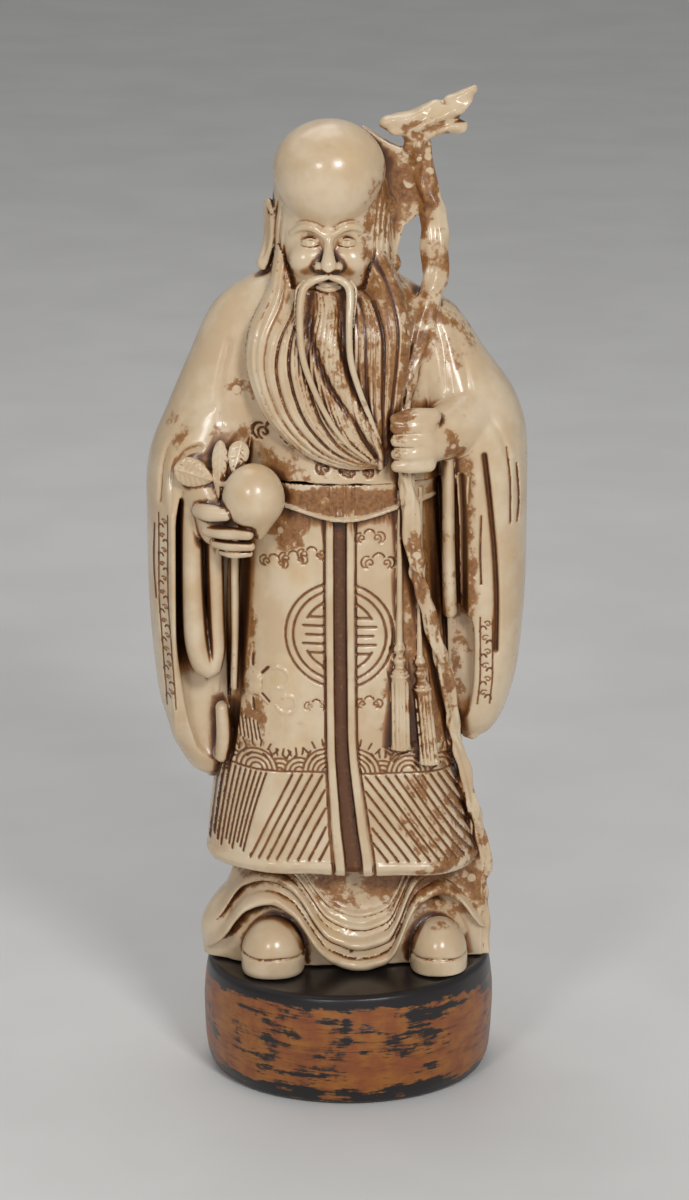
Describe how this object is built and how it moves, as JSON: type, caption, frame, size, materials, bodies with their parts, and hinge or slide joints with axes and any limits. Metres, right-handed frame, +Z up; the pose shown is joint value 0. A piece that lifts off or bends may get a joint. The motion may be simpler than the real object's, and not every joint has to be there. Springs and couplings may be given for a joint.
{
  "type": "figure of a longevity elder on a round plinth",
  "caption": "Standing bearded elder with a bulging bald brow, holding a gnarled staff and a peach, in long wide-sleeved robes, on a low round turned plinth.",
  "frame": {"origin": "centre of the plinth's flat underside", "axes": "+Z up, the figure faces -Y, and +X is the viewer's right"},
  "size_m": [0.0588, 0.0458, 0.1556],
  "materials": {
    "figure": "glossy cream moulded resin in imitation of ivory, with brown stain wiped into its hollows",
    "plinth": "satin orange-brown wood with worn black streaks"
  },
  "bodies": {
    "root": {"figure": "figure", "plinth": "plinth"}
  },
  "joints": []
}
